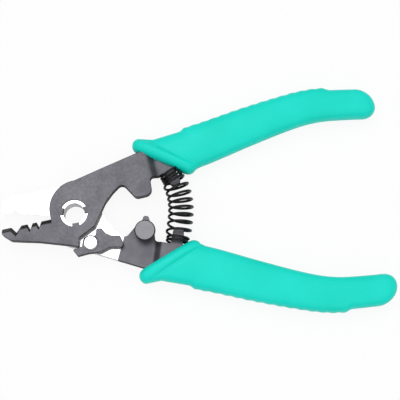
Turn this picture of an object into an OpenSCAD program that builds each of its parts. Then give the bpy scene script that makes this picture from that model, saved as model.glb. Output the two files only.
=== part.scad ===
// Hand stripper for optical fibre. It lies flat: Z is the pivot axis, the two stamped halves
// meet on the plane z = 0, and X runs from the pivot towards the handles, midway between them.
// Each half is drawn in its own frame, as it lies with the jaws shut, and turned to rest open.

/* [Stamped halves] */
// Thickness of each stamped half
plate_t = 3.2; // [2.6:0.1:3.8]
// Angle between the halves when the spring holds them open
open_angle = 23; // [20:0.5:24]
// Pivot to jaw tip
jaw_len = 30.4; // [28:0.2:34]
// Radius of the round hub
hub_r = 11.9; // [11:0.1:13]
// Distance from the pivot at which the arms start to bend into one plane
joggle_x = 34.7; // [34:0.1:35.6]
// Length of that bend
joggle_len = 3; // [2:0.2:3.4]
// Radius of the bend's corners
bend_r = 3; // [1:0.5:4]

/* [Stripping notches] */
// Distance of the jacket notch from the pivot
notch_1_x = 24.9; // [24:0.1:25.6]
// Width of the jacket notch at the edge of the black jaw
notch_1_w = 4.2; // [3:0.1:4.6]
// Angle between the two faces of the jacket notch
notch_1_angle = 80; // [70:1:90]
// Distance of the buffer notch from the pivot
notch_2_x = 19.1; // [18.6:0.1:19.8]
// Width of the buffer notch at the edge of the black jaw
notch_2_w = 2.2; // [1.6:0.1:2.6]
// Distance of the coating notch from the pivot
notch_3_x = 15.3; // [14.8:0.1:15.8]
// Width of the coating notch at the edge of the black jaw
notch_3_w = 2; // [1.4:0.1:2.3]
// Angle between the two faces of the buffer and coating notches
notch_angle = 48; // [44:1:60]
// Width of the bevel ground behind the cutting edges
edge_bevel = 2.3; // [1.4:0.1:2.6]
// Width of the bevel ground behind the faces of the jacket notch
notch_1_bevel = 1.4; // [0.8:0.1:1.6]
// Width of the bevel ground behind the faces of the two fine notches
notch_bevel = 0.7; // [0.4:0.05:0.9]

/* [Pivot collar] */
// Radius of the hole through the hollow pivot
bore_r = 4.3; // [3.8:0.1:4.5]
// Wall of the collar's barrel
collar_wall = 0.65; // [0.5:0.05:0.9]
// Width of the collar's swaged front rim beyond its barrel
rim_w = 0.7; // [0.4:0.05:1]
// Width of the collar's back flange beyond its barrel
flange_w = 1.8; // [1.2:0.1:2.5]
// Thickness of the back flange
flange_t = 0.9; // [0.6:0.1:1.2]
// Depth of the front rim's seat in the black half
rim_seat = 1.3; // [1:0.1:1.6]
// How far the rim lies below the face of the black half
rim_recess = 0.4; // [0.2:0.1:0.6]
// Width of the keys that hold the collar
key_w = 2.8; // [2:0.1:3.4]

/* [Stop post] */
// Radius of the post's head
post_head_r = 4.3; // [3.6:0.1:4.6]
// Thickness of the post's head
post_head_t = 1.6; // [1.2:0.1:2.4]
// Radius of the post where the lug of the black half strikes it
post_r = 2.9; // [2.4:0.1:3]
// Radius of the shank riveted into the bright half
post_shank_r = 2; // [1.4:0.1:2.2]

/* [Lock lever] */
// Thickness of the lock lever
lever_t = 2.5; // [1.8:0.1:2.9]
// Distance from the rivet to the thumb end
thumb_reach = 13.2; // [12:0.1:14]
// Distance from the rivet to the tip of the upper prong
prong_reach = 6.7; // [6:0.1:7.2]
// Distance from the rivet to the catch
catch_reach = 6.8; // [6.2:0.1:7.2]
// Radius of the rivet that the lever turns on
rivet_r = 1.5; // [1.2:0.1:2]
// Radius of the rivet's head
rivet_head_r = 3.1; // [2.7:0.1:3.3]
// Thickness of the rivet's head
rivet_head_t = 1; // [0.6:0.1:1.4]

/* [Return spring] */
// Diameter of the spring wire
wire_d = 1.05; // [0.8:0.05:1.2]
// Outer diameter of the open coils
coil_od = 10.8; // [9.6:0.1:11.2]
// Outer diameter of the closed end coils
end_od = 9.4; // [8.8:0.1:9.8]
// Number of open turns
open_turns = 8; // [6:1:9]
// Number of closed turns at the end on the black half
top_turns = 3; // [2:1:3]
// Number of closed turns at the end on the bright half
low_turns = 2; // [1:1:3]
// Length of the tongues that hold the spring's ends
tongue_len = 7; // [5:0.2:7.4]
// Width of those tongues
tongue_w = 4.8; // [3.6:0.1:5.4]

/* [Grips] */
// Thickness of the grips
grip_t = 9.6; // [8.4:0.2:12]
// Vinyl between the arm and the edge of the grip
grip_wall = 2.4; // [1.8:0.1:3]
// Distance from the pivot to the end of the grips
grip_end = 134.6; // [126:0.2:145]
// Radius of the rolled bead at the front of the grip
bead_r = 3.1; // [2.6:0.1:3.4]
// Height of the raised finger pad
pad_h = 1.1; // [0.4:0.1:1.6]
// Distance from the pivot to the step at the front of the pad
pad_from = 52.2; // [50:0.2:56]
// Distance from the pivot to the step at the back of the pad
pad_to = 116.2; // [108:0.2:118]

/* [Fits] */
// Clearance of what turns or slides, on the radius
run_fit = 0.05; // [0.03:0.01:0.1]
// Clearance between faces that pass over each other
face_gap = 0.1; // [0.05:0.05:0.2]
// Clearance between the spring and what it lies beside
spring_gap = 0.3; // [0.2:0.05:0.4]

/* [Hidden] */
$fn = 64;
eps = 0.01;

half_turn = open_angle / 2;
black = "#77777c";
bright = "#e8eaec";
teal = "#1fdcc8";

barrel_r = bore_r + collar_wall;
rim_r = barrel_r + rim_w;
flange_r = barrel_r + flange_w;
key_angles = [1, 157, 265];

// Hub: its centre lies a little up the arm from the pivot
hub_c = [2.2, 1.7];
neck_r = 10;

// Places on the bright half, in its own frame
post_at = [30.1, -3.7];
rivet_at = [8.8, -11.4];
post_top = plate_t + face_gap * 3;
lever_top = face_gap + lever_t;

// Spring seats in the frames of their halves: [place, direction of the spring]
top_seat = [[42.2, 7.8], -73];
low_seat = [[43.4, 7.2], -88];

// Bead: the centres of its two ends
bead_out = [33.3, 21.6];
bead_in = [50.8, 7.4];
bead_mid = (bead_out + bead_in) / 2;
bead_half = norm(bead_in - bead_out) / 2;
bead_angle = atan2(bead_in.y - bead_out.y, bead_in.x - bead_out.x);

// Lean of the notches towards the tip, and how far a grinding cut reaches
notch_lean = -8;
notch_reach = 5;

// ---------------------------------------------------------------- helpers

function unit(v) = v / norm(v);
function xy(p) = [p.x, p.y];
function polar(r, a) = r * [cos(a), sin(a)];
function turned(a) = a > 180 ? a - 360 : a < -180 ? a + 360 : a;
function arc(c, r, from, to, steps) = [
    for (i = [0 : steps]) c + polar(r, from + (to - from) * i / steps)
];

// One corner b of a path a-b-c, rounded to radius r
function corner(a, b, c, r, steps) =
    let (
        u = unit(a - b),
        v = unit(c - b),
        half = acos(u * v) / 2,
        centre = b + unit(u + v) * r / sin(half),
        start = b + u * r / tan(half) - centre,
        finish = b + v * r / tan(half) - centre,
        from = atan2(start.y, start.x),
        sweep = turned(atan2(finish.y, finish.x) - from)
    )
    arc(centre, r, from, from + sweep, steps);

// Closed outline through points [x, y, corner radius]
function rounded(pts, steps = 4) = [
    for (i = [0 : len(pts) - 1])
        let (
            p = pts[i],
            before = pts[(i + len(pts) - 1) % len(pts)],
            after = pts[(i + 1) % len(pts)]
        )
        each p.z > 0 ? corner(xy(before), xy(p), xy(after), p.z, steps) : [xy(p)]
];

function sharp(pts) = [for (p = pts) [p.x, p.y, 0]];

function smooth(t) = let (k = min(1, max(0, t))) k * k * (3 - 2 * k);

// Smooth curve through the table's points [x, y], read at x
function slope(table, i) =
    let (a = table[max(0, i - 1)], b = table[min(len(table) - 1, i + 1)])
    (b.y - a.y) / (b.x - a.x);
function curve(table, x, i = 0) =
    i < len(table) - 2 && x > table[i + 1].x ? curve(table, x, i + 1) :
    let (
        a = table[i],
        b = table[i + 1],
        w = b.x - a.x,
        t = (x - a.x) / w
    )
    a.y * (1 + 2 * t) * pow(1 - t, 2) + b.y * t * t * (3 - 2 * t)
    + w * t * (1 - t) * (slope(table, i) * (1 - t) - slope(table, i + 1) * t);

// ---------------------------------------------------------------- shape of the grip

grip_line = [[42, 13.8], [60, 15.1], [80, 17.4], [100, 19], [110, 18.7], [120, 16.8], [134, 13.4]];
grip_half = [[42, 8.9], [60, 8.4], [80, 7.7], [100, 6.9], [120, 6.6], [134, 6.5]];
pad_step = 3.4;
function pad(x) = pad_h * (smooth((x - pad_from) / pad_step + 0.5) - smooth((x - pad_to) / pad_step + 0.5));
function outer_y(x) = curve(grip_line, x) + curve(grip_half, x) + pad(x);
function inner_y(x) = curve(grip_line, x) - curve(grip_half, x);

// ---------------------------------------------------------------- stamped halves

// Edge from the hub along the throat to the lug, shared by both halves
throat = [[6.8, -7.5, 1], [9.4, -4.3, 3], [13.4, 0.8, 9], [17.4, 4.2, 8], [22.2, 7.2, 2]];

tang_end = grip_end - 14.6;
tang_x = [for (x = [62 : 8 : tang_end - 10]) x];
tang_tip = [tang_end, curve(grip_line, tang_end)];

function seat_point(seat, along) = seat[0] + polar(along, seat[1] + 90);
function tongue_point(seat, along, side) = seat_point(seat, side) + polar(along, seat[1]);

// Seat and tongue of the spring, from the pivot side to the grip side
function seat_edge(seat) = [
    concat(seat_point(seat, -end_od / 2), 0.3),
    concat(tongue_point(seat, 0, -tongue_w / 2), 0.4),
    concat(tongue_point(seat, tongue_len, -tongue_w * 0.46), tongue_w * 0.36),
    concat(tongue_point(seat, tongue_len, tongue_w * 0.46), tongue_w * 0.36),
    concat(tongue_point(seat, 0, tongue_w / 2), 0.4),
    concat(seat_point(seat, end_od / 2), 0.3)
];

// Tang inside the grip, out along its inner edge and back along its outer edge
tang = concat(
    [for (x = tang_x) [x, inner_y(x) + grip_wall, 0]],
    [[tang_end, tang_tip.y - 2.8, 2.7], [tang_end, tang_tip.y + 2.8, 2.7]],
    [for (i = [len(tang_x) - 1 : -1 : 0]) [tang_x[i], outer_y(tang_x[i]) - pad_h - grip_wall, 0]]
);
arm_edge = [[30.8, 18.1, 20], [14.8, 15.5, 20]];
arm_root = [[30.8, 18.1], [30, 4]];

hub_span = [84, 176];
hub = sharp(arc(hub_c, hub_r, hub_span[0], hub_span[1], 12));

// Cutting edge: how far it crosses the line through the pivot, at the hub and at the tip
front_rise = [0.7, 1.9];
rear_rise = [1.7, 3.2];
edge_start = hub_c.x - hub_r + 0.1;
function edge_slope(rise) = (rise[1] - rise[0]) / (edge_start + jaw_len);
function edge_y(rise, x) = rise[0] + edge_slope(rise) * (edge_start - x);

// Jaw from the hub to the tip and back along its outer edge
function jaw(rise) = [
    [edge_start, rise[0], 0],
    [-jaw_len, rise[1], 0.6],
    [-jaw_len, -1.2, 1.4],
    [3 - jaw_len, -4.5, 3],
    [-16.4, -8, 0],
    [-4.6, -12.7, 0.6]
];

front_lug = [[26.2, -0.5, 2], [33.2, -0.8, 3], [34, 6.6, 1.6]];
front_tooth = [[-1.5, -14.3, 0.3], [-0.4, -10.5, 0.3]];
front_outline = rounded(concat(
    throat, front_lug, seat_edge(top_seat), tang, arm_edge, hub, jaw(front_rise), front_tooth
));

rear_lug = [[25.6, 1.6, 2], [27.9, -1.2, 1], [28.3, -3.4, 0.9], [30.3, -3.4, 0.9], [31.2, -1.4, 1],
            [33.6, 2.6, 2], [34.6, 6.8, 1.6]];
rear_outline = rounded(concat(
    throat, rear_lug, seat_edge(low_seat), tang, arm_edge, hub, jaw(rear_rise)
));

// Side view of a half: flat head, then a bend that brings the arm to mid thickness
module side_view() {
    end = joggle_x + joggle_len;
    tip = -jaw_len - 5;
    polygon(rounded([
        [tip, 0, 0], [joggle_x, 0, bend_r], [end, -plate_t / 2, bend_r], [grip_end, -plate_t / 2, 0],
        [grip_end, plate_t / 2, 0], [end, plate_t / 2, bend_r], [joggle_x, plate_t, bend_r],
        [tip, plate_t, 0]
    ]));
}

// A half with its head in z = 0 .. plate_t
module stamping(outline) {
    intersection() {
        translate([0, 0, -plate_t]) linear_extrude(3 * plate_t) polygon(outline);
        rotate([90, 0, 0]) linear_extrude(grip_end, center = true) side_view();
    }
}

// What a grinding wheel takes from a jaw: all to the left of a line at angle a, sloping so that
// the line on the outer face lies further right than the cutting line on the mating face
module ground(a, bevel, len) {
    rotate([0, 0, a]) rotate([atan(bevel / plate_t), 0, 0]) translate([-len, 0, -plate_t])
        cube([2 * len, len, 4 * plate_t]);
}

// V notch with ground faces; share is its width as a share of w
module notch(rise, x, w, angle, bevel, share) {
    depth = share * w / 2 / tan(angle / 2);
    translate([-x, edge_y(rise, -x) - depth, 0]) rotate([0, 0, notch_lean]) intersection() {
        ground(90 - angle / 2, bevel, notch_reach);
        ground(angle / 2 - 90, bevel, notch_reach);
    }
}

// Everything ground from a jaw; the bevel behind the edge runs out at the hub
module ground_jaw(rise, shares) {
    difference() {
        translate([edge_start - jaw_len, edge_y(rise, edge_start - jaw_len), 0])
            ground(-atan(edge_slope(rise)), edge_bevel, jaw_len);
        translate([hub_c.x, hub_c.y, -plate_t]) cylinder(r = hub_r, h = 4 * plate_t);
    }
    notch(rise, notch_1_x, notch_1_w, notch_1_angle, notch_1_bevel, shares[0]);
    notch(rise, notch_2_x, notch_2_w, notch_angle, notch_bevel, shares[1]);
    notch(rise, notch_3_x, notch_3_w, notch_angle, notch_bevel, shares[2]);
}

module front_half() {
    color(black) rotate([0, 0, half_turn]) {
        difference() {
            stamping(front_outline);
            translate([0, 0, -eps]) cylinder(r = barrel_r, h = plate_t + 1);
            translate([0, 0, plate_t - rim_seat]) cylinder(r = rim_r, h = rim_seat + 1);
            ground_jaw(front_rise, [1, 1, 1]);
        }
        for (a = key_angles) collar_key(a, 0);
    }
}

// One key of the black half, reaching in through the collar's rim
module collar_key(angle, gap) {
    rotate([0, 0, angle]) translate([bore_r + run_fit - gap * 2, -key_w / 2 - gap, plate_t - rim_seat])
        cube([rim_r - bore_r + 0.2, key_w + 2 * gap, rim_seat]);
}

module rear_half() {
    color(bright) rotate([0, 0, -half_turn]) difference() {
        rotate([180, 0, 0]) difference() {
            stamping(rear_outline);
            ground_jaw(rear_rise, [0.72, 0.37, 0.37]);
        }
        translate([0, 0, -plate_t - 1]) cylinder(r = barrel_r + run_fit, h = plate_t + 2);
        translate([0, 0, -plate_t - 1]) cylinder(r = flange_r + run_fit, h = flange_t + face_gap + 1);
        translate([post_at.x, post_at.y, -plate_t - 1]) cylinder(r = post_shank_r, h = plate_t + 2);
        translate([rivet_at.x, rivet_at.y, -plate_t - 1]) cylinder(r = rivet_r, h = plate_t + 2);
    }
}

// ---------------------------------------------------------------- pivot, post and rivet

module pivot_collar() {
    color(bright) rotate([0, 0, half_turn]) difference() {
        union() {
            translate([0, 0, -plate_t]) cylinder(r = flange_r, h = flange_t);
            translate([0, 0, -plate_t]) cylinder(r = barrel_r, h = 2 * plate_t - rim_recess);
            translate([0, 0, plate_t - rim_seat]) cylinder(r = rim_r, h = rim_seat - rim_recess);
        }
        translate([0, 0, -plate_t - 1]) cylinder(r = bore_r, h = 2 * plate_t + 2);
        for (a = key_angles) collar_key(a, run_fit);
    }
}

module stop_post() {
    color("#86868b") rotate([0, 0, -half_turn]) translate([post_at.x, post_at.y, 0]) {
        translate([0, 0, -plate_t]) cylinder(r = post_shank_r, h = plate_t);
        cylinder(r = post_r, h = post_top);
        translate([0, 0, post_top]) rotate_extrude()
            polygon([[0, 0], [post_head_r - 0.3, 0], [post_head_r, 0.3], [post_head_r, post_head_t - 0.4],
                     [post_head_r - 0.4, post_head_t], [0, post_head_t]]);
    }
}

module lever_rivet() {
    color(bright) rotate([0, 0, -half_turn]) translate([rivet_at.x, rivet_at.y, 0]) difference() {
        union() {
            translate([0, 0, -plate_t]) cylinder(r = rivet_r, h = plate_t + lever_top + face_gap);
            translate([0, 0, lever_top + face_gap]) rotate_extrude()
                polygon([[0, 0], [rivet_head_r, 0], [rivet_head_r, rivet_head_t * 0.5],
                         [rivet_head_r - 0.5, rivet_head_t], [0, rivet_head_t]]);
        }
        translate([0, 0, lever_top + face_gap + rivet_head_t]) staked_mark();
    }
}

// Mark that staking leaves in the rivet's head: a groove between two punched dimples
module staked_mark() {
    ends = [[-0.66, 0.16] * rivet_head_r, [0.18, -0.5] * rivet_head_r];
    for (p = ends) translate([p.x, p.y, -0.35]) cylinder(r = 0.5, h = 1);
    way = ends[1] - ends[0];
    translate([ends[0].x, ends[0].y, 0]) rotate([0, 0, atan2(way.y, way.x)])
        translate([0, -0.15, -0.2]) cube([norm(way), 0.3, 1]);
}

// ---------------------------------------------------------------- lock lever

// Outline about the rivet: upper prong, thumb end, and the catch at the lower left
lever_outline = rounded([
    [1.3, prong_reach - 0.5, 0.8], [3.3, prong_reach, 1.1], [5.3, prong_reach - 1.8, 1.5],
    [thumb_reach - 5.2, 4.1, 3], [thumb_reach - 1.8, 4.6, 0.6], [thumb_reach, 1.7, 0.8],
    [thumb_reach - 0.3, 0, 0.8], [thumb_reach - 5.2, -0.6, 3], [4.6, -3.1, 3], [-0.4, -4.4, 2],
    [2.4 - catch_reach, -6.1, 0.3], [-catch_reach, -3.8, 0.3], [-3.4, -2, 0.6], [-3.3, 2.2, 2.2],
    [1.4, 3.4, 0.6]
]);

module lock_lever() {
    color(black) rotate([0, 0, -half_turn]) translate([rivet_at.x, rivet_at.y, face_gap])
        difference() {
            linear_extrude(lever_t) polygon(lever_outline);
            translate([0, 0, -1]) cylinder(r = rivet_r + run_fit, h = lever_t + 2);
        }
}

// ---------------------------------------------------------------- return spring

// Ends of the spring's centre line, with their directions
function seat_world(seat, side) =
    let (a = half_turn, p = seat[0], q = seat[1])
    [
        [p.x * cos(a) - p.y * sin(a), side * (p.x * sin(a) + p.y * cos(a))],
        [cos(q + a), side * sin(q + a)]
    ];
spring_top = seat_world(top_seat, 1);
spring_low = seat_world(low_seat, -1);
span = norm(spring_top[0] - spring_low[0]);

// Centre line at t from 0 (black half) to 1 (bright half), bowed by the two seats
function centre_line(t) =
    let (k = 1 - t, a = spring_top, b = spring_low, reach = span * 0.42)
    a[0] * pow(k, 3) + 3 * (a[0] + a[1] * reach) * k * k * t
    + 3 * (b[0] + b[1] * reach) * k * t * t + b[0] * pow(t, 3);
function line_slope(t) = unit(centre_line(t + 0.01) - centre_line(t - 0.01));

turns = top_turns + open_turns + low_turns;
closed_step = wire_d * 1.03 / span;
end_step = (wire_d / 2 + 0.05) / span;
open_step = (1 - 2 * end_step - closed_step * (top_turns + low_turns)) / open_turns;
function turn_at(n) =
    end_step + closed_step * min(n, top_turns)
    + open_step * min(max(n - top_turns, 0), open_turns)
    + closed_step * max(n - top_turns - open_turns, 0);
function coil_r(n) =
    let (full = smooth(n - top_turns + 0.5) * smooth(turns - low_turns - n + 0.5))
    (end_od + (coil_od - end_od) * full - wire_d) / 2;
function wire_centre(n) =
    let (
        t = turn_at(n),
        c = centre_line(t),
        d = line_slope(t),
        r = coil_r(n)
    )
    [c.x - d.y * r * cos(360 * n), c.y + d.x * r * cos(360 * n), r * sin(360 * n)];

wire_steps = 14;
wire_sides = 8;
function wire_ring(n) =
    let (
        c = wire_centre(n),
        along = unit(wire_centre(n + 0.01) - wire_centre(n - 0.01)),
        axis = concat(line_slope(turn_at(n)), 0),
        out = unit(cross(along, axis)),
        up = cross(out, along)
    )
    [for (i = [0 : wire_sides - 1])
        let (a = 360 * (i + 0.5) / wire_sides) c + wire_d / 2 * (cos(a) * out + sin(a) * up)];

// Solid through rings of equal count
module loft(rings) {
    m = len(rings[0]);
    last = len(rings) - 1;
    polyhedron(
        points = [for (ring = rings) each ring],
        faces = concat(
            [[for (j = [0 : m - 1]) m - 1 - j]],
            [for (i = [0 : last - 1], j = [0 : m - 1])
                let (k = (j + 1) % m, b = i * m)
                each [[b + j, b + k, b + m + j], [b + k, b + m + k, b + m + j]]],
            [[for (j = [0 : m - 1]) last * m + j]]
        ),
        convexity = 10
    );
}

module return_spring() {
    color("#1c1c1e") loft([for (i = [0 : turns * wire_steps]) wire_ring(i / wire_steps)]);
}

// ---------------------------------------------------------------- grips

grip_sides = 24;
neck_x = bead_mid.x;
lean_end = 78;
lean = abs(bead_in.x - bead_out.x) / 2;
function lean_at(x) = lean * (1 - smooth((x - neck_x) / (lean_end - neck_x)));
body_start = neck_x + bead_r * 1.7;
function outer_point(x) = [x - lean_at(x), outer_y(x - lean_at(x))];
function inner_point(x) = [x + lean_at(x), inner_y(x + lean_at(x))];

// Cross section from an outer point to an inner point, with a flat-sided oval form
function section(outer, inner, half_t) =
    let (mid = (outer + inner) / 2, w = (outer - inner) / 2)
    [for (i = [0 : grip_sides - 1])
        let (
            a = 360 * i / grip_sides,
            u = sign(cos(a)) * pow(abs(cos(a)), 0.72),
            v = sign(sin(a)) * pow(abs(sin(a)), 0.72)
        )
        [mid.x + w.x * u, mid.y + w.y * u, half_t * v]];

// Bead stations: the roll is round in the direction across the bead
bead_dir = [cos(bead_angle), sin(bead_angle)];
bead_across = [-sin(bead_angle), cos(bead_angle)];
function bead_section(a) =
    let (
        c = bead_mid - bead_across * bead_r * cos(a),
        reach = bead_half + bead_r * sin(a),
        blend = max(0, a - 90) / (180 - 90)
    )
    section(c - bead_dir * reach, a > 90 ? blended(blend) : c + bead_dir * reach,
            grip_t / 2 - bead_r + 0.5 + bead_r * sin(a));

// Inner edge between the bead's inner end and the start of the body
function blended(t) = (bead_mid + bead_dir * (bead_half + bead_r)) * (1 - t) + inner_point(body_start) * t;

tail_len = 6.6;
tail = grip_end - tail_len;
function body_section(x) =
    let (
        close = x > tail ? sqrt(max(0.003, 1 - pow((x - tail) / tail_len, 2))) : 1,
        outer = outer_point(x),
        inner = inner_point(x),
        mid = (outer + inner) / 2
    )
    section(mid + (outer - mid) * close, mid + (inner - mid) * close, grip_t / 2 * close);

module grip(seat) {
    stations = concat(
        [for (x = [body_start : 1.6 : pad_from + 9]) x],
        [for (x = [pad_from + 14 : 6 : pad_to - 7]) x],
        [for (x = [pad_to - 3 : 1.6 : pad_to + 4]) x],
        [for (x = [pad_to + 8 : 2 : tail - 0.5]) x],
        [for (k = [0, 0.45, 0.7, 0.88, 0.97, 1]) tail + tail_len * k]
    );
    difference() {
        loft(concat([for (a = [4 : 17.2 : 142]) bead_section(a)], [for (x = stations) body_section(x)]));
        stamping(rounded(concat([concat(seat_point(seat, end_od / 2), 0)], tang, sharp(arm_root))));
        spring_room(seat);
    }
}

// Room in the bead for the closed coils that stand on the seat
module spring_room(seat) {
    room_r = end_od / 2 + spring_gap;
    translate([seat[0].x, seat[0].y, 0]) rotate([0, 0, seat[1]]) rotate([0, 90, 0])
        cylinder(r = room_r, h = 12);
}

module upper_grip() {
    color(teal) rotate([0, 0, half_turn]) grip(top_seat);
}

module lower_grip() {
    color(teal) rotate([180, 0, 0]) rotate([0, 0, half_turn]) grip(low_seat);
}

front_half();
rear_half();
pivot_collar();
stop_post();
lock_lever();
lever_rivet();
return_spring();
upper_grip();
lower_grip();
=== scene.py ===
"""Looks of the fibre stripper: materials, grips, spring, engraved lines, light and camera."""

import math

import bpy
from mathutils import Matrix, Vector


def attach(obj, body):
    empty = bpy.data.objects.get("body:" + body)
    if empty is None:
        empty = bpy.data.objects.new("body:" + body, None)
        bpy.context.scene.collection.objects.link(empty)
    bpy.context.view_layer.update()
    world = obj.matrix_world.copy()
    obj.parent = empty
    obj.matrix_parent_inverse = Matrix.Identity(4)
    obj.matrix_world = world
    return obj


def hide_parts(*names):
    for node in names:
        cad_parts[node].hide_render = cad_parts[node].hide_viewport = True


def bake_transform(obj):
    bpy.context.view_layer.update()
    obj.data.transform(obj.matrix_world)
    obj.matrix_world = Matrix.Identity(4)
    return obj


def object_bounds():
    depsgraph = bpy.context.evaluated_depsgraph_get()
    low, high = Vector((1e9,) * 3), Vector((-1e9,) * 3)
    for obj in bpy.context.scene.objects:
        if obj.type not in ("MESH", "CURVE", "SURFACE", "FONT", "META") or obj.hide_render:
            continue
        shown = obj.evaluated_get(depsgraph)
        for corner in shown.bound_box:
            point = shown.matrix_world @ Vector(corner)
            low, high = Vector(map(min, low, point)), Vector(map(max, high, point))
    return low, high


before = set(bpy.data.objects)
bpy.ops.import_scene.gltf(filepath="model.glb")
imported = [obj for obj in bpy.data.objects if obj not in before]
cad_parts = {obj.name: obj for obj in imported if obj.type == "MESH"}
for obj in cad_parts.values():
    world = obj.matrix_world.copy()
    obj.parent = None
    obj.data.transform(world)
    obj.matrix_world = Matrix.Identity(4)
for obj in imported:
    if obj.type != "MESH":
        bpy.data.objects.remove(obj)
cad_low, cad_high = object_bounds()

MM = 0.001
BLACK_BODY = "black_body"
BRIGHT_BODY = "bright_body"

# Sizes that the looks share with the solids, in millimetres and degrees
HALF_TURN = 11.5
GRIP_T = 9.6
GRIP_END = 134.6
TAIL_LEN = 6.6
BEAD_R = 3.1
PAD_H = 1.1
PAD_FROM = 52.2
PAD_TO = 116.2
PAD_STEP = 3.4
BEAD_OUT = Vector((33.3, 21.6))
BEAD_IN = Vector((50.8, 7.4))
WIRE_D = 1.05
COIL_OD = 10.8
END_OD = 9.4
TOP_TURNS = 3
OPEN_TURNS = 8
LOW_TURNS = 2
TOP_SEAT = ((42.2, 7.8), -73.0)
LOW_SEAT = ((43.4, 7.2), -88.0)
COATING_EDGE = 22.24
COATING_SLANT = 6.77
COATING_FADE = 0.06
SECTION_POWER = 0.72


# ---------------------------------------------------------------- helpers


def srgb(red, green, blue):
    """Linear colour for a colour given as 0 to 255 in sRGB."""
    def linear(c):
        c /= 255
        return c / 12.92 if c < 0.04045 else ((c + 0.055) / 1.055) ** 2.4
    return (linear(red), linear(green), linear(blue), 1.0)


def turned(x, y, degrees, side=1):
    """A point of a half's own frame in the row frame; side is -1 for the half below X."""
    a = math.radians(degrees)
    return (x * math.cos(a) - y * math.sin(a), side * (x * math.sin(a) + y * math.cos(a)))


def smooth(t):
    t = min(1.0, max(0.0, t))
    return t * t * (3 - 2 * t)


def curve(table, x):
    """Smooth curve through the table's points, read at x."""
    last = len(table) - 1
    i = max(0, min(last - 1, sum(1 for p in table if p[0] < x) - 1))

    def slope(k):
        a, b = table[max(0, k - 1)], table[min(last, k + 1)]
        return (b[1] - a[1]) / (b[0] - a[0])

    (ax, ay), (bx, by) = table[i], table[i + 1]
    w = bx - ax
    t = (x - ax) / w
    return (ay * (1 + 2 * t) * (1 - t) ** 2 + by * t * t * (3 - 2 * t)
            + w * t * (1 - t) * (slope(i) * (1 - t) - slope(i + 1) * t))


def mesh_object(name, points, faces, material):
    """A smooth-shaded piece from points in millimetres."""
    mesh = bpy.data.meshes.new(name)
    mesh.from_pydata([(x * MM, y * MM, z * MM) for x, y, z in points], [], faces)
    mesh.shade_smooth()
    piece = bpy.data.objects.new(name, mesh)
    bpy.context.collection.objects.link(piece)
    piece.data.materials.append(material)
    return piece


def tube_faces(rings, sides):
    """Faces of a tube through rings of equal count, closed at both ends."""
    faces = []
    for i in range(rings - 1):
        for j in range(sides):
            k = (j + 1) % sides
            faces.append((i * sides + j, i * sides + k, (i + 1) * sides + k, (i + 1) * sides + j))
    faces.append(tuple(reversed(range(sides))))
    faces.append(tuple((rings - 1) * sides + j for j in range(sides)))
    return faces


# ---------------------------------------------------------------- materials


class Material:
    """A node material under construction."""

    def __init__(self, name, **inputs):
        self.material = bpy.data.materials.new(name)
        self.material.use_nodes = True
        self.tree = self.material.node_tree
        self.bsdf = self.tree.nodes["Principled BSDF"]
        self.set(self.bsdf, inputs)

    def set(self, node, inputs):
        for socket, value in inputs.items():
            node.inputs[socket.replace("_", " ")].default_value = value

    def node(self, kind, inputs=None, **settings):
        made = self.tree.nodes.new("ShaderNode" + kind)
        for name, value in settings.items():
            setattr(made, name, value)
        for socket, value in (inputs or {}).items():
            made.inputs[socket].default_value = value
        return made

    def link(self, out, into):
        self.tree.links.new(out, into)

    def coords(self):
        return self.node("TexCoord").outputs["Object"]

    def noise(self, scale, detail=2.0, stretch=None):
        """Noise in the row frame; scale is per metre, stretch scales each axis."""
        made = self.node("TexNoise", {"Scale": scale, "Detail": detail})
        source = self.coords()
        if stretch:
            mapping = self.node("Mapping", {"Scale": stretch})
            self.link(source, mapping.inputs["Vector"])
            source = mapping.outputs["Vector"]
        self.link(source, made.inputs["Vector"])
        return made.outputs["Fac"]

    def ranged(self, value, low, high, to_low, to_high):
        made = self.node("MapRange", {
            "From Min": low, "From Max": high, "To Min": to_low, "To Max": to_high,
        })
        self.link(value, made.inputs["Value"])
        return made.outputs["Result"]

    def math(self, operation, a, b=None):
        made = self.node("Math", operation=operation)
        for socket, value in zip(made.inputs, (a, b)):
            if isinstance(value, (int, float)):
                socket.default_value = value
            elif value is not None:
                self.link(value, socket)
        return made.outputs["Value"]

    def mix(self, factor, a, b):
        made = self.node("Mix", data_type="RGBA")
        for socket, value in ((made.inputs[0], factor), (made.inputs[6], a), (made.inputs[7], b)):
            if isinstance(value, (int, float, tuple)):
                socket.default_value = value
            else:
                self.link(value, socket)
        return made.outputs[2]

    def bump(self, height, strength, distance):
        made = self.node("Bump", {"Strength": strength, "Distance": distance})
        self.link(height, made.inputs["Height"])
        return made

    def edge_mask(self, radius):
        """1 on the edges of a stamping and 0 on its flats."""
        bevel = self.node("Bevel", {"Radius": radius})
        geometry = self.node("NewGeometry")
        dot = self.node("VectorMath", operation="DOT_PRODUCT")
        self.link(bevel.outputs["Normal"], dot.inputs[0])
        self.link(geometry.outputs["True Normal"], dot.inputs[1])
        return self.ranged(dot.outputs["Value"], 0.995, 0.9, 0.0, 1.0), bevel.outputs["Normal"]

    def side_mask(self):
        """1 on the walls of a stamping and 0 on its two faces."""
        coords = self.node("TexCoord")
        split = self.node("SeparateXYZ")
        self.link(coords.outputs["Normal"], split.inputs[0])
        return self.ranged(self.math("ABSOLUTE", split.outputs["Z"]), 0.8, 0.95, 1.0, 0.0)


# Black faces and their light mottle, with painted shade for their walls; polished faces and painted
# shade on their edges
FACE_GREY = srgb(98, 97, 103)
FACE_GREY_LIGHT = srgb(112, 111, 117)
PAINTED_WALL_SHADE = srgb(22, 21, 25)
POLISHED = srgb(250, 250, 252)
POLISHED_EDGE_SHADE = srgb(120, 122, 128)


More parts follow.
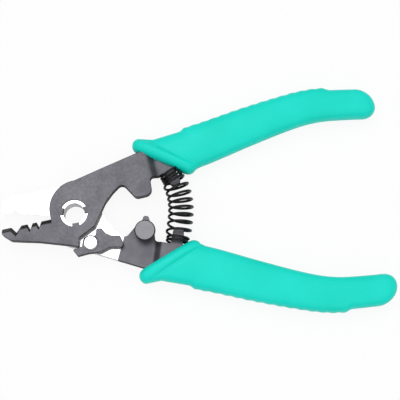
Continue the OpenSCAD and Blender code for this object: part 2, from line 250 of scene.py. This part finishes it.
def black_colour(m, edges):
    """Black-oxide colour: mottled satin faces, with painted shade darkening the walls and rims."""
    mottle = m.ranged(m.noise(140.0, 4.0), 0.35, 0.65, 0.0, 1.0)
    face = m.mix(mottle, FACE_GREY, FACE_GREY_LIGHT)
    # painted shade: the walls and rounded rims of the black steel are darkened towards near-black
    painted_shade = m.math("MAXIMUM", m.side_mask(), m.math("MULTIPLY", edges, 0.9))
    return m.mix(painted_shade, face, PAINTED_WALL_SHADE)


def black_steel():
    m = Material("black_oxide_steel", Metallic=0.85, Roughness=0.42, Specular_IOR_Level=0.4)
    edges, rounded = m.edge_mask(0.0005)
    m.link(black_colour(m, edges), m.bsdf.inputs["Base Color"])
    m.link(m.ranged(m.noise(900.0), 0.3, 0.7, 0.36, 0.48), m.bsdf.inputs["Roughness"])
    bump = m.bump(m.noise(5200.0, 3.0), 0.12, 0.0001)
    m.link(rounded, bump.inputs["Normal"])
    m.link(bump.outputs["Normal"], m.bsdf.inputs["Normal"])
    return m.material


def bright_steel():
    m = Material("polished_steel", Metallic=1.0, Roughness=0.16)
    edges, rounded = m.edge_mask(0.0002)
    # painted shade: the rounded edges of the polished face are darkened to grey
    m.link(m.mix(m.math("MULTIPLY", edges, 0.8), POLISHED, POLISHED_EDGE_SHADE), m.bsdf.inputs["Base Color"])
    grain = m.noise(700.0, 3.0, (1.0, 14.0, 1.0))
    m.link(m.ranged(grain, 0.3, 0.7, 0.12, 0.22), m.bsdf.inputs["Roughness"])
    bump = m.bump(grain, 0.04, 0.00005)
    m.link(rounded, bump.inputs["Normal"])
    m.link(bump.outputs["Normal"], m.bsdf.inputs["Normal"])
    return m.material


def coated_bright_steel():
    """The bright half: polished from the jaw to the coating's edge and black on the arm."""
    m = Material("polished_and_coated_steel", Metallic=0.95, Roughness=0.2)
    edges, rounded = m.edge_mask(0.00022)
    along, across = turned(1.0, 0.0, HALF_TURN + COATING_SLANT, -1)
    along_arm = m.node("VectorMath", {1: (along, across, 0.0)}, operation="DOT_PRODUCT")
    m.link(m.coords(), along_arm.inputs[0])
    coated = m.ranged(along_arm.outputs["Value"], (COATING_EDGE - COATING_FADE) * MM,
                      (COATING_EDGE + COATING_FADE) * MM, 0.0, 1.0)
    # painted shade: the rounded edges of the polished part are darkened to grey
    bright = m.mix(m.math("MULTIPLY", edges, 0.85), POLISHED, POLISHED_EDGE_SHADE)
    m.link(m.mix(coated, bright, black_colour(m, edges)), m.bsdf.inputs["Base Color"])
    m.link(m.ranged(coated, 0.0, 1.0, 0.16, 0.42), m.bsdf.inputs["Roughness"])
    bump = m.bump(m.noise(5200.0, 3.0), 0.06, 0.0001)
    m.link(rounded, bump.inputs["Normal"])
    m.link(bump.outputs["Normal"], m.bsdf.inputs["Normal"])
    return m.material


def post_steel():
    m = Material("grey_post", Metallic=0.7, Roughness=0.45)
    edges, rounded = m.edge_mask(0.0003)
    mottle = m.mix(m.noise(400.0, 3.0), srgb(132, 132, 137), srgb(146, 146, 151))
    # painted shade: the post's walls and edges are darkened towards dark grey
    painted_shade = m.math("MAXIMUM", m.side_mask(), m.math("MULTIPLY", edges, 0.35))
    m.link(m.mix(painted_shade, mottle, srgb(58, 58, 62)), m.bsdf.inputs["Base Color"])
    bump = m.bump(m.noise(4200.0, 2.0), 0.1, 0.0001)
    m.link(rounded, bump.inputs["Normal"])
    m.link(bump.outputs["Normal"], m.bsdf.inputs["Normal"])
    return m.material


def spring_wire():
    m = Material("black_spring_wire", Metallic=0.5, Roughness=0.3)
    m.link(m.mix(m.noise(600.0), srgb(16, 16, 18), srgb(34, 34, 37)), m.bsdf.inputs["Base Color"])
    bump = m.bump(m.noise(3500.0, 3.0), 0.15, 0.0001)
    m.link(bump.outputs["Normal"], m.bsdf.inputs["Normal"])
    return m.material


def teal_vinyl():
    m = Material("teal_vinyl", Roughness=0.38, Coat_Weight=0.06, Coat_Roughness=0.2,
                 Specular_IOR_Level=0.18, Subsurface_Weight=0.08, Subsurface_Scale=0.002,
                 Subsurface_Radius=(0.4, 1.0, 0.9))
    clouds = m.ranged(m.noise(45.0, 3.0), 0.35, 0.65, 0.0, 1.0)
    m.link(m.mix(clouds, srgb(8, 224, 204), srgb(20, 230, 212)), m.bsdf.inputs["Base Color"])
    m.link(m.ranged(m.noise(700.0, 3.0), 0.3, 0.7, 0.3, 0.4), m.bsdf.inputs["Roughness"])
    orange_peel = m.bump(m.noise(1400.0, 2.0), 0.08, 0.0002)
    m.link(orange_peel.outputs["Normal"], m.bsdf.inputs["Normal"])
    return m.material


def engraving():
    m = Material("engraved_line", Metallic=0.6, Roughness=0.6)
    m.link(m.mix(m.noise(900.0), srgb(96, 98, 104), srgb(130, 132, 138)), m.bsdf.inputs["Base Color"])
    return m.material


# ---------------------------------------------------------------- vinyl grips

GRIP_LINE = [(42, 13.8), (60, 15.1), (80, 17.4), (100, 19), (110, 18.7), (120, 16.8), (134, 13.4)]
GRIP_HALF = [(42, 8.9), (60, 8.4), (80, 7.7), (100, 6.9), (120, 6.6), (134, 6.5)]
GRIP_SIDES = 64
# Rings of the bead, which opens at the first angle and turns on through the sweep
BEAD_RINGS = 25
BEAD_FROM = 4
BEAD_SWEEP = 138
BODY_RINGS = 171
TAIL_RINGS = 16
NECK = (BEAD_OUT + BEAD_IN) / 2
BODY_START = NECK.x + BEAD_R * 1.7
LEAN_END = 78
RIPPLE = 0.13
RIPPLE_PITCH = 4.4


def pad(x):
    on_pad = smooth((x - PAD_FROM) / PAD_STEP + 0.5) - smooth((x - PAD_TO) / PAD_STEP + 0.5)
    return on_pad * (PAD_H + RIPPLE * math.cos(2 * math.pi * x / RIPPLE_PITCH))


def outer_y(x):
    return curve(GRIP_LINE, x) + curve(GRIP_HALF, x) + pad(x)


def inner_y(x):
    return curve(GRIP_LINE, x) - curve(GRIP_HALF, x)


def section(outer, inner, half_t):
    """Cross section between two edge points: an oval with flattened faces."""
    mid, reach = (outer + inner) / 2, (outer - inner) / 2
    ring = []
    for i in range(GRIP_SIDES):
        c, s = math.cos(2 * math.pi * i / GRIP_SIDES), math.sin(2 * math.pi * i / GRIP_SIDES)
        u = math.copysign(abs(c) ** SECTION_POWER, c)
        v = math.copysign(abs(s) ** SECTION_POWER, s)
        ring.append((mid.x + reach.x * u, mid.y + reach.y * u, half_t * v))
    return ring


def edge_points(x):
    """The outer and inner edge of the body's section at x, which leans with the bead."""
    lean = (BEAD_IN.x - BEAD_OUT.x) / 2 * (1 - smooth((x - NECK.x) / (LEAN_END - NECK.x)))
    return Vector((x - lean, outer_y(x - lean))), Vector((x + lean, inner_y(x + lean)))


def bead_section(angle):
    along = (BEAD_IN - BEAD_OUT).normalized()
    across = Vector((-along.y, along.x))
    half = (BEAD_IN - BEAD_OUT).length / 2
    reach = half + BEAD_R * math.sin(angle)
    centre = NECK - across * BEAD_R * math.cos(angle)
    inner = centre + along * reach
    if angle > math.pi / 2:
        start = edge_points(BODY_START)[1]
        inner = (NECK + along * (half + BEAD_R)).lerp(start, 2 * angle / math.pi - 1)
    half_t = GRIP_T / 2 - BEAD_R + 0.5 + BEAD_R * math.sin(angle)
    return section(centre - along * reach, inner, half_t)


def body_section(x):
    tail = GRIP_END - TAIL_LEN
    close = math.sqrt(max(0.0008, 1 - ((x - tail) / TAIL_LEN) ** 2)) if x > tail else 1.0
    outer, inner = edge_points(x)
    mid = (outer + inner) / 2
    return section(mid + (outer - mid) * close, mid + (inner - mid) * close, GRIP_T / 2 * close)


def grip(name, node, body, side, material):
    rings = [bead_section(math.radians(BEAD_FROM + BEAD_SWEEP * i / (BEAD_RINGS - 1)))
             for i in range(BEAD_RINGS)]
    tail = GRIP_END - TAIL_LEN
    rings += [body_section(BODY_START + (tail - BODY_START) * i / (BODY_RINGS - 1))
              for i in range(BODY_RINGS)]
    rings += [body_section(tail + TAIL_LEN * math.sin(math.pi / 2 * i / TAIL_RINGS))
              for i in range(1, TAIL_RINGS + 1)]
    points = []
    for ring in rings:
        for x, y, z in ring:
            points.append((*turned(x, y, HALF_TURN, side), z * side))
    piece = mesh_object(name, points, tube_faces(len(rings), GRIP_SIDES), material)
    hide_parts(node)
    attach(piece, body)
    return piece


# ---------------------------------------------------------------- return spring


def seat_in_row(seat, side):
    (x, y), direction = seat
    a = math.radians(direction + HALF_TURN)
    return Vector(turned(x, y, HALF_TURN, side)), Vector((math.cos(a), side * math.sin(a)))


SPRING_TOP = seat_in_row(TOP_SEAT, 1)
SPRING_LOW = seat_in_row(LOW_SEAT, -1)
SPAN = (SPRING_TOP[0] - SPRING_LOW[0]).length
TURNS = TOP_TURNS + OPEN_TURNS + LOW_TURNS
STEPS_PER_TURN = 44
WIRE_SIDES = 14


def centre_line(t):
    reach = SPAN * 0.42
    a, b, k = SPRING_TOP, SPRING_LOW, 1 - t
    return (a[0] * k ** 3 + 3 * (a[0] + a[1] * reach) * k * k * t
            + 3 * (b[0] + b[1] * reach) * k * t * t + b[0] * t ** 3)


def line_slope(t):
    return (centre_line(t + 0.01) - centre_line(t - 0.01)).normalized()


def wire_centre(n):
    closed = WIRE_D * 1.03 / SPAN
    end = (WIRE_D / 2 + 0.05) / SPAN
    pitch = (1 - 2 * end - closed * (TOP_TURNS + LOW_TURNS)) / OPEN_TURNS
    t = (end + closed * min(n, TOP_TURNS) + pitch * min(max(n - TOP_TURNS, 0), OPEN_TURNS)
         + closed * max(n - TOP_TURNS - OPEN_TURNS, 0))
    full = smooth(n - TOP_TURNS + 0.5) * smooth(TURNS - LOW_TURNS - n + 0.5)
    r = (END_OD + (COIL_OD - END_OD) * full - WIRE_D) / 2
    c, d, a = centre_line(t), line_slope(t), 2 * math.pi * n
    return Vector((c.x - d.y * r * math.cos(a), c.y + d.x * r * math.cos(a), r * math.sin(a)))


def wound_spring(material):
    """The spring's wire, swept with a frame that never flips."""
    rings = TURNS * STEPS_PER_TURN + 1
    d = (SPRING_LOW[0] - SPRING_TOP[0]).normalized()
    points = []
    for i in range(rings):
        n = i / STEPS_PER_TURN
        centre = wire_centre(n)
        along = (wire_centre(n + 0.01) - wire_centre(n - 0.01)).normalized()
        a = 2 * math.pi * n
        outward = Vector((-d.y * math.cos(a), d.x * math.cos(a), math.sin(a)))
        side = along.cross(outward).normalized()
        out = side.cross(along)
        for j in range(WIRE_SIDES):
            b = 2 * math.pi * j / WIRE_SIDES
            points.append(centre + WIRE_D / 2 * (math.cos(b) * out + math.sin(b) * side))
    piece = mesh_object("spring_wire", points, tube_faces(rings, WIRE_SIDES), material)
    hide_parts("return_spring")
    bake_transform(piece)
    return piece


# ---------------------------------------------------------------- engraved lines


STROKE_W = 0.22
STROKE_LOW = -0.05
STROKE_TOP = 0.02


def engraved_stroke(name, start, end, material):
    """A thin line on the bright jaw's face; start and end are in that half's frame, y upwards."""
    a, b = Vector(start), Vector(end)
    side = Vector((-(b - a).y, (b - a).x)).normalized() * STROKE_W / 2
    corners = [a - side, b - side, b + side, a + side]
    points = [(*turned(p.x, -p.y, HALF_TURN, -1), z) for z in (STROKE_LOW, STROKE_TOP)
              for p in corners]
    faces = [(0, 3, 2, 1), (4, 5, 6, 7), (0, 1, 5, 4), (1, 2, 6, 5), (2, 3, 7, 6), (3, 0, 4, 7)]
    piece = mesh_object(name, points, faces, material)
    piece.data.shade_flat()
    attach(piece, BRIGHT_BODY)
    return piece


# ---------------------------------------------------------------- studio


FLOOR_HALF = 3.0
FLOOR_DROP = 0.0002
FLOOR_GLOW = 0.9


def studio():
    """White floor and a soft overhead sky that fades towards the horizon."""
    world = bpy.data.worlds.new("studio")
    bpy.context.scene.world = world
    world.use_nodes = True
    tree = world.node_tree
    background = tree.nodes["Background"]
    background.inputs["Color"].default_value = (1.0, 1.0, 1.0, 1.0)
    coords = tree.nodes.new("ShaderNodeTexCoord")
    split = tree.nodes.new("ShaderNodeSeparateXYZ")
    height = tree.nodes.new("ShaderNodeMapRange")
    height.inputs["From Min"].default_value = 0.05
    height.inputs["From Max"].default_value = 0.85
    height.inputs["To Min"].default_value = 0.12
    height.inputs["To Max"].default_value = 1.12
    rays = tree.nodes.new("ShaderNodeLightPath")
    level = tree.nodes.new("ShaderNodeMix")
    tree.links.new(coords.outputs["Generated"], split.inputs[0])
    tree.links.new(split.outputs["Z"], height.inputs["Value"])
    tree.links.new(rays.outputs["Is Camera Ray"], level.inputs[0])
    tree.links.new(height.outputs["Result"], level.inputs[2])
    level.inputs[3].default_value = 1.0
    tree.links.new(level.outputs[0], background.inputs["Strength"])

    floor_mesh = bpy.data.meshes.new("floor")
    s, z = FLOOR_HALF, cad_low.z - FLOOR_DROP
    floor_mesh.from_pydata([(-s, -s, z), (s, -s, z), (s, s, z), (-s, s, z)], [], [(0, 1, 2, 3)])
    floor = bpy.data.objects.new("floor", floor_mesh)
    bpy.context.collection.objects.link(floor)
    m = Material("white_floor", Roughness=0.9, Specular_IOR_Level=0.0)
    m.bsdf.inputs["Base Color"].default_value = (0.9, 0.9, 0.9, 1.0)
    glow = m.node("Emission", {"Strength": 1.0})
    path = m.node("LightPath")
    blend = m.node("MixShader")
    m.link(m.math("MULTIPLY", path.outputs["Is Camera Ray"], FLOOR_GLOW), blend.inputs[0])
    m.link(m.bsdf.outputs["BSDF"], blend.inputs[1])
    m.link(glow.outputs["Emission"], blend.inputs[2])
    m.link(blend.outputs["Shader"], m.tree.nodes["Material Output"].inputs["Surface"])
    floor.data.materials.append(m.material)


def area_light(name, place, aim, size, power):
    data = bpy.data.lights.new(name, "AREA")
    data.shape = "DISK"
    data.size = size
    data.energy = power
    lamp = bpy.data.objects.new(name, data)
    lamp.location = place
    lamp.rotation_euler = (Vector(aim) - Vector(place)).to_track_quat("-Z", "Y").to_euler()
    bpy.context.collection.objects.link(lamp)


# Camera: above the tool, leaning back from the lower grip's side
PICTURE_TURN = 4.02
VIEW_TILT = 15.0
VIEW_DISTANCE = 0.4
AIM = Vector((52.12, 2.72, 0.0)) * MM
FRAME_WIDTH_AT_AIM = 166.24 * MM


def camera():
    data = bpy.data.cameras.new("camera")
    data.sensor_width = 36.0
    data.lens = data.sensor_width * VIEW_DISTANCE / FRAME_WIDTH_AT_AIM
    made = bpy.data.objects.new("camera", data)
    tilt, turn = math.radians(VIEW_TILT), math.radians(-PICTURE_TURN)
    made.rotation_mode = "XYZ"
    made.rotation_euler = (tilt, 0.0, turn)
    back = Vector((math.sin(turn) * math.sin(tilt), -math.cos(turn) * math.sin(tilt), math.cos(tilt)))
    made.location = AIM + back * VIEW_DISTANCE
    bpy.context.collection.objects.link(made)
    bpy.context.scene.camera = made


def paint(node, material):
    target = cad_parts[node]
    target.data.materials.clear()
    target.data.materials.append(material)


# ---------------------------------------------------------------- the scene

bpy.context.scene.view_settings.view_transform = "Standard"
camera()
studio()
centre = (cad_low + cad_high) / 2
area_light("key", (centre.x - 0.12, centre.y + 0.2, 0.5), centre, 0.3, 0.3)
area_light("fill", (centre.x + 0.1, centre.y - 0.45, 0.35), centre, 0.3, 0.12)

black = black_steel()
bright = bright_steel()
vinyl = teal_vinyl()
wire = spring_wire()
for node in ("front_half", "lock_lever"):
    paint(node, black)
paint("rear_half", coated_bright_steel())
for node in ("pivot_collar", "lever_rivet"):
    paint(node, bright)
paint("stop_post", post_steel())

grip("upper_vinyl_grip", "upper_grip", BLACK_BODY, 1, vinyl)
grip("lower_vinyl_grip", "lower_grip", BRIGHT_BODY, -1, vinyl)
wound_spring(wire)

line = engraving()
STROKES = [
    ((-24.99, 0.57), (-24.1, 5.04)), ((-23.37, 0.24), (-21.97, 4.94)), ((-24.99, 0.57), (-23.37, 0.24)),
    ((-18.45, 0.53), (-17.22, 7.39)), ((-17.84, 0.22), (-16.13, 6.75)), ((-14.44, 0.48), (-11.99, 9.34)),
]
for number, (start, end) in enumerate(STROKES, 1):
    engraved_stroke(f"leader_line_{number}", start, end, line)
